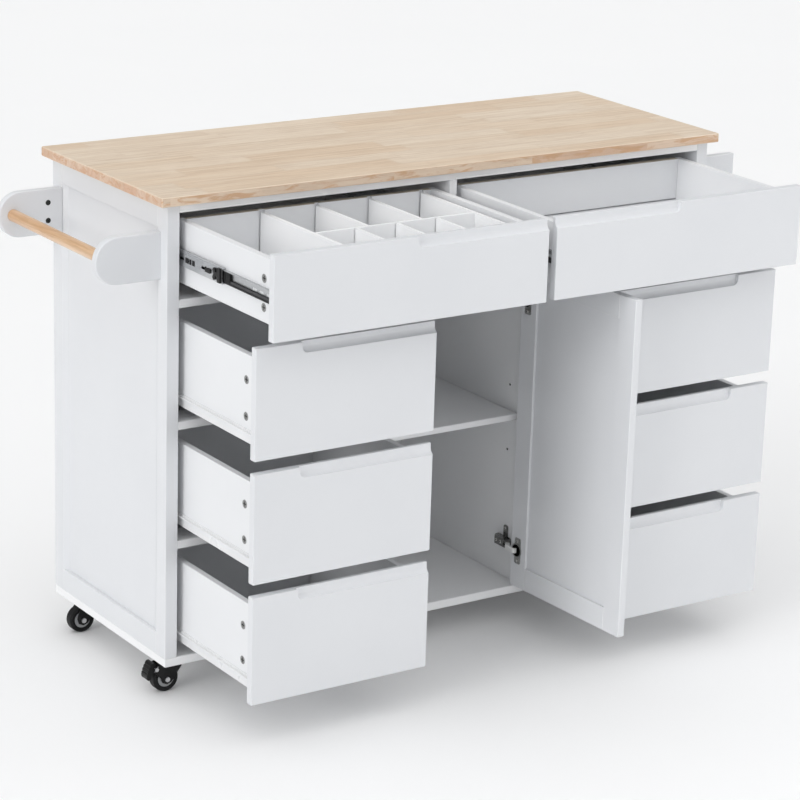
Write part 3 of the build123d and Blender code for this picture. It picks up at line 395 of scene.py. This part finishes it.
# the walls of the shelf-pin holes are coloured near black as painted shade
N["lower_dividers"].data.materials.append(HOLE_SHADE)
split("lower_dividers", lambda x, y, z, n, a: min(math.hypot(y - q, z - h) for q in (66.0, 372.0) for h in (336.5, 400.5, 464.5)) < 2.7
      and min(abs(x - 417.0), abs(x - 783.0)) > 0.05, 2)
dress("side_panels", PAINT)
dress("towel_brackets", PAINT)
# the cutlery dividers take the lightest white paint, painted light inside the drawer
boards("cutlery_dividers", PAINT_CUT_LIGHTENED)
boards("door_frame", PAINT, math.radians(92.5))
boards("door_panel", PAINT, math.radians(92.5))
dress("countertop", TOP)
dress("towel_bar", DOWEL)
dress("shelf_pins", NICKEL)
dress("bracket_nuts", NUT)
dress("caster_plates", PRESSED)
dress("slide_outers", STEEL)
# hinge arms and cup flanges take the darkened nickel, painted shade
dress("hinge_arms", HINGE)
dress("hinge_cups", FLANGE, SLOT_SHADE)
TH = math.radians(92.5)
CUP_U = Vector((-math.cos(TH), -math.sin(TH), 0.0))       # across the open door's inner face, to its free edge
CUP_N = Vector((-math.sin(TH), math.cos(TH), 0.0))        # out of that face
CUP_AT = (767.17, 0.513)
HINGE_ZS = (156.0, 646.0)


def in_cup(x, y, z, n, a):
    for h in HINGE_ZS:
        d = Vector((x - CUP_AT[0], y - CUP_AT[1], z - h))
        if math.hypot(d.dot(CUP_U), d.z) < 12.6 and d.dot(CUP_N) < 1.1:
            return True
    return False


# the inside of each hinge cup is coloured near black as painted shade
split("hinge_cups", in_cup, 1)
# the hinge links take the pale nickel copy, a painted reflection
dress("hinge_links", LINK_REFLECTION)

LOWER = [c + "_" + r for c in ("left", "right") for r in ("upper", "middle", "lower")]
BASE = {"upper": 519.6667, "middle": 301.3333, "lower": 83.0}
OPENED = {"top_left": 307.0, "top_right": 303.0, "left": 255.0, "right": 248.0}
WALLS = {"top_left": (41.0, 592.0), "top_right": (608.0, 1159.0), "left": (41.0, 402.0), "right": (798.0, 1159.0)}


def cams(node, column, index, zs):
    """The cross recesses of a drawer's cam locks are coloured near black as painted shade."""
    y0 = 12.5 - OPENED[column] + 15.0 + 34.0
    faces = [WALLS[column][0] + 13.0, WALLS[column][1] - 13.0]

    def inside(x, y, z, n, a):
        near = min(math.hypot(y - y0, z - c) for c in zs)
        return near < 6.0 and min(abs(x - f) for f in faces) > 0.05
    split(node, inside, index)


for d in ("top_left", "top_right"):
    dress(d + "_drawer_front", PAINT)
    # the drawer box takes the lightened white paint, painted light against the drawer's shade
    boards(d + "_drawer_box", PAINT_BOX_LIGHTENED)
    # the top edges of the drawer box show raw fibreboard, made paler as painted light
    N[d + "_drawer_box"].data.materials.append(RAW_EDGE_LIGHTENED)
    split(d + "_drawer_box", lambda x, y, z, n, a, b=340.5 - OPENED[d]: n.z > 0.5 and z > 868.5 and y > b + 0.5, 2)
    dress(d + "_slide_inner", STEEL_IN, CAM, SLOT_SHADE, NEAR_BLACK_RACE)
    # the lower lip of the inner member is coloured near black
    split(d + "_slide_inner", lambda x, y, z, n, a: z - 809.0 < -9.7, 3)
    split(d + "_slide_inner", lambda x, y, z, n, a: abs(z - 809.0) > 13.0, 1)
    cams(d + "_slide_inner", d, 2, (834.0, 785.0))
    dress(d + "_slide_middle", STEEL, LATCH)
    w0, w1 = WALLS[d]
    split(d + "_slide_middle", lambda x, y, z, n, a, p=w0, q=w1: x < p + 4.55 or x > q - 4.55, 1)
for d in LOWER:
    column, row = d.split("_")
    b0 = BASE[row] + 22.5
    dress(d + "_drawer_front", PAINT)
    # the drawer box takes the lightened white paint, painted light against the drawer's shade
    boards(d + "_drawer_box", PAINT_BOX_LIGHTENED)
    dress(d + "_runner_set", ENAMEL, CAM, NYLON, SLOT_SHADE)
    split(d + "_runner_set", lambda x, y, z, n, a, b=b0: z > b + 30.0, 1)
    cams(d + "_runner_set", column, 3, (BASE[row] + 128.5, BASE[row] + 64.7))
    yr = 372.0 - OPENED[column]
    split(d + "_runner_set", lambda x, y, z, n, a, b=b0, r=yr: abs(y - r) < 7.6 and b + 1.5 < z < b + 16.5, 2)
dress("runner_rails", ENAMEL, NYLON)
split("runner_rails", lambda x, y, z, n, a: abs(y - 41.0) < 7.6 and abs(abs(n.x) - 1.0) > 0.02 and abs(n.z) < 0.9999, 1)

CASTERS = {"front_left": (62.0, 63.0), "front_right": (1138.0, 63.0), "rear_left": (62.0, 386.0), "rear_right": (1138.0, 386.0)}
for name, (cx, cy) in CASTERS.items():
    ax = cx - 20.0

    def radius(x, z, a=ax):
        return math.hypot(x - a, z - 25.0)
    dress("caster_wheel_" + name, TREAD, RING, BLACK)
    split("caster_wheel_" + name, lambda x, y, z, n, a, r=radius: 9.5 < r(x, z) < 15.8, 1)
    split("caster_wheel_" + name, lambda x, y, z, n, a, r=radius: r(x, z) <= 9.5, 2)
    dress("caster_fork_" + name, BLACK, BOLT)
    split("caster_fork_" + name, lambda x, y, z, n, a, r=radius, c=cy: r(x, z) < 4.8 and abs(y - c) > 13.9, 1)
    if name.startswith("front"):
        dress("brake_pedal_" + name, BLACK)
        split("caster_fork_" + name, lambda x, y, z, n, a, c=cy, p=cx - 41.0: math.hypot(x - p, z - 47.0) < 3.8 and abs(y - c) > 13.95, 1)

# ------------------------------------------------------------------ small fittings
def piece(name, body, bm, *mats):
    """Turn a finished bmesh into an object that rides on a body."""
    bmesh.ops.recalc_face_normals(bm, faces=bm.faces)
    me = bpy.data.meshes.new(name)
    bm.to_mesh(me)
    bm.free()
    for m in mats:
        me.materials.append(m)
    obj = bpy.data.objects.new(name, me)
    bpy.context.scene.collection.objects.link(obj)
    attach(obj, body)
    return obj


def slab(bm, x, y, z, ease):
    """Add a block between the given layout limits, with rounded edges."""
    made = bmesh.ops.create_cube(bm, size=1.0)["verts"]
    lo, hi = P(min(x), min(y), min(z)), P(max(x), max(y), max(z))
    for v in made:
        v.co = Vector([lo[i] + (v.co[i] + 0.5) * (hi[i] - lo[i]) for i in range(3)])
    edges = list({e for v in made for e in v.link_edges})
    bmesh.ops.bevel(bm, geom=edges, offset=ease / 1000.0, segments=2, profile=0.6, affect="EDGES")


def screw(bm, at, n, r, h):
    """Add a pan-head screw with a cross recess, standing on at and facing n."""
    n = n.normalized()
    u = n.orthogonal().normalized()
    v = n.cross(u)
    r, h = r / 1000.0, h / 1000.0
    arm, wide = 0.56 * r, 0.13 * r
    cross = [(arm, -wide), (arm, wide), (wide, wide), (wide, arm), (-wide, arm), (-wide, wide), (-arm, wide), (-arm, -wide),
             (-wide, -wide), (-wide, -arm), (wide, -arm), (wide, -wide)]

    def ring(points, height):
        return [bm.verts.new(at + u * a + v * b + n * height) for a, b in points]

    def circle(radius):
        out = []
        for a, b in cross:
            q = math.atan2(b, a)
            out.append((radius * math.cos(q), radius * math.sin(q)))
        return out
    floor_ring = ring(cross, 0.35 * h)
    loops = [floor_ring, ring(cross, h), ring(circle(0.72 * r), 0.97 * h), ring(circle(0.93 * r), 0.72 * h), ring(circle(r), 0.30 * h),
             ring(circle(r), 0.0)]
    # the floor and walls of the cross recess are coloured near black as painted shade
    bm.faces.new(floor_ring).material_index = 1
    for k, (a, b) in enumerate(zip(loops, loops[1:])):
        for i in range(12):
            j = (i + 1) % 12
            f = bm.faces.new((a[i], a[j], b[j], b[i]))
            f.material_index = 1 if k == 0 else 0
            f.smooth = k > 1


for d in ("top_left", "top_right"):
    half = OPENED[d] / 2
    for side, wall, into in (("left", WALLS[d][0], 1.0), ("right", WALLS[d][1], -1.0)):
        # lower ball race of the drawer rail, coloured near black along its length, and the moulded stop that closes it
        bm = bmesh.new()
        slab(bm, (wall + into * 8.4, wall + into * 11.7), (33.0 - OPENED[d], 349.0 - OPENED[d]), (799.3, 806.0), 0.8)
        slab(bm, (wall + into * 7.6, wall + into * 11.7), (33.0 - OPENED[d], 349.0 - OPENED[d]), (799.3, 800.6), 0.4)
        piece(d + "_race_" + side, d + "_drawer", bm, NEAR_BLACK_RACE)
        bm = bmesh.new()
        y0 = 30.0 - half - 21.0
        slab(bm, (wall + into * 7.4, wall + into * 11.7), (y0, y0 + 26.0), (799.4, 818.6), 0.9)
        for k in range(3):
            slab(bm, (wall + into * 6.9, wall + into * 8.4), (y0 + 2.5 + 6.0 * k, y0 + 5.5 + 6.0 * k), (801.0, 817.0), 0.4)
        piece(d + "_stop_" + side, d + "_drawer", bm, LATCH)
        # ball cage showing in the middle member's windows
        bm = bmesh.new()
        web = wall + into * 4.6
        for ya, yb in ((92.0, 100.0), (103.5, 109.5), (112.5, 123.0), (52.0, 56.5)):
            slab(bm, (web - into * 0.7, web + into * 0.3), (30.0 - half + ya, 30.0 - half + yb), (804.2, 813.4), 0.3)
        piece(d + "_cage_" + side, d + "_slide", bm, LATCH)

bm = bmesh.new()
for h in HINGE_ZS:
    for dz in (19.5, -19.5):
        screw(bm, P(CUP_AT[0], CUP_AT[1], h + dz) + (CUP_U * 3.5 + CUP_N * 2.0) / 1000.0, CUP_N, 2.9, 1.3)
piece("cup_screws", "door", bm, NICKEL, SLOT_SHADE)
bm = bmesh.new()
for h in HINGE_ZS:
    for y, dz, x, r in ((55.0, 0.0, 767.5, 3.6), (68.0, 0.0, 767.5, 3.2), (58.0, 24.0, 781.0, 3.4)):
        screw(bm, P(x, y, h + dz), Vector((-1.0, 0.0, 0.0)), r, 1.4)
piece("arm_screws", "cabinet", bm, NICKEL, SLOT_SHADE)
bm = bmesh.new()
for cx, cy in CASTERS.values():
    for sx in (-17.0, 17.0):
        for sy in (-17.0, 17.0):
            screw(bm, P(cx + sx, cy + sy, 62.5), Vector((0.0, 0.0, -1.0)), 3.6, 1.8)
piece("caster_screws", "cabinet", bm, NICKEL, SLOT_SHADE)

# --------------------------------------------------------------- stage and light
bpy.context.scene.view_settings.view_transform = "Standard"

floor_mesh = bpy.data.meshes.new("studio_floor")
bm = bmesh.new()
bmesh.ops.create_grid(bm, x_segments=2, y_segments=2, size=30.0)
bm.to_mesh(floor_mesh)
bm.free()
floor = bpy.data.objects.new("studio_floor", floor_mesh)
bpy.context.scene.collection.objects.link(floor)
floor.location.z = -0.0005
ft = Tree("studio_floor_paint")
ft.set(Base_Color=ft.mix(ft.span(ft.noise(ft.pos, 1.2, 3.0, 0.5), 0.3, 0.7, 0.0, 1.0), (0.955, 0.955, 0.957), (0.965, 0.965, 0.966)))
ft.bsdf.inputs["Roughness"].default_value = 0.7
ft.bsdf.inputs["Specular IOR Level"].default_value = 0.15
floor_mesh.materials.append(ft.mat)

# a pale round backdrop far behind the floor; it only shows, and neither lights nor shades the cart
wall_mesh = bpy.data.meshes.new("studio_backdrop")
bm = bmesh.new()
turns = [2.0 * math.pi * k / 96 for k in range(96)]
low = [bm.verts.new((29.0 * math.cos(q), 29.0 * math.sin(q), -0.01)) for q in turns]
high = [bm.verts.new((29.0 * math.cos(q), 29.0 * math.sin(q), 24.0)) for q in turns]
for k in range(96):
    bm.faces.new((low[k], high[k], high[k - 95], low[k - 95]))
bm.to_mesh(wall_mesh)
bm.free()
wall = bpy.data.objects.new("studio_backdrop", wall_mesh)
bpy.context.scene.collection.objects.link(wall)
wt = Tree("studio_backdrop_cloth")
shade = wt.noise(wt.pos, 0.15, 2.0, 0.5)
wt.set(Base_Color=(0.0, 0.0, 0.0, 1.0), Emission_Color=wt.mix(wt.span(shade, 0.3, 0.7, 0.0, 1.0), (0.80, 0.81, 0.82), (0.83, 0.84, 0.85)))
wt.bsdf.inputs["Emission Strength"].default_value = 1.0
wt.bsdf.inputs["Specular IOR Level"].default_value = 0.0
wall_mesh.materials.append(wt.mat)
wall.visible_shadow = wall.visible_diffuse = wall.visible_glossy = wall.visible_transmission = False

world = bpy.data.worlds.new("studio")
bpy.context.scene.world = world
world.use_nodes = True
world.node_tree.nodes["Background"].inputs[0].default_value = (0.97, 0.985, 1.0, 1.0)
world.node_tree.nodes["Background"].inputs[1].default_value = 0.29


def soft_sun(name, towards, strength, spread, colour=(1.0, 1.0, 1.0)):
    """A very wide, even light from one side of the studio; towards points to it."""
    light = bpy.data.lights.new(name, "SUN")
    light.energy = strength
    light.angle = math.radians(spread)
    light.color = colour
    obj = bpy.data.objects.new(name, light)
    bpy.context.scene.collection.objects.link(obj)
    obj.location = Vector(towards).normalized() * 4.0
    obj.rotation_mode = "QUATERNION"
    obj.rotation_quaternion = Vector(towards).normalized().to_track_quat("Z", "Y")
    return obj


def soft_box(name, at, aim, wide, power):
    """A square diffuser at one place of the layout, aimed at another."""
    light = bpy.data.lights.new(name, "AREA")
    light.shape = "SQUARE"
    light.size = wide
    light.energy = power
    obj = bpy.data.objects.new(name, light)
    bpy.context.scene.collection.objects.link(obj)
    obj.location = P(*at)
    obj.rotation_mode = "QUATERNION"
    obj.rotation_quaternion = (P(*at) - P(*aim)).to_track_quat("Z", "Y")
    obj.visible_camera = False
    return obj


soft_sun("left_bank", (-0.92, -0.24, 0.30), 0.33 * math.pi, 30.0)
soft_sun("overhead_bank", (-0.10, -0.12, 1.0), 0.56 * math.pi, 100.0)
soft_sun("front_bank", (-0.05, -0.97, 0.24), 0.055 * math.pi, 40.0)
soft_sun("right_fill", (0.96, -0.12, 0.26), 0.16 * math.pi, 50.0)
soft_box("right_front_box", (2300.0, -3200.0, 1500.0), (700.0, 0.0, 500.0), 2.0, 10.0)

# ------------------------------------------------------------------------ camera
cam_data = bpy.data.cameras.new("camera")
cam_data.sensor_width = 36.0
cam_data.lens = 2872.16 * 36.0 / 800.0
cam_data.clip_start, cam_data.clip_end = 0.05, 100.0
camera = bpy.data.objects.new("camera", cam_data)
bpy.context.scene.collection.objects.link(camera)
yaw, pitch, roll = 0.5904, 0.3025, 0.0307
fwd = Vector((math.sin(yaw) * math.cos(pitch), math.cos(yaw) * math.cos(pitch), -math.sin(pitch)))
right = Vector((math.cos(yaw), -math.sin(yaw), 0.0))
up = right.cross(fwd)
r2 = math.cos(roll) * right + math.sin(roll) * up
u2 = -math.sin(roll) * right + math.cos(roll) * up
camera.matrix_world = Matrix.Translation(P(-2265.69, -4113.42, 2040.28)) @ Matrix((r2, u2, -fwd)).transposed().to_4x4()
bpy.context.scene.camera = camera
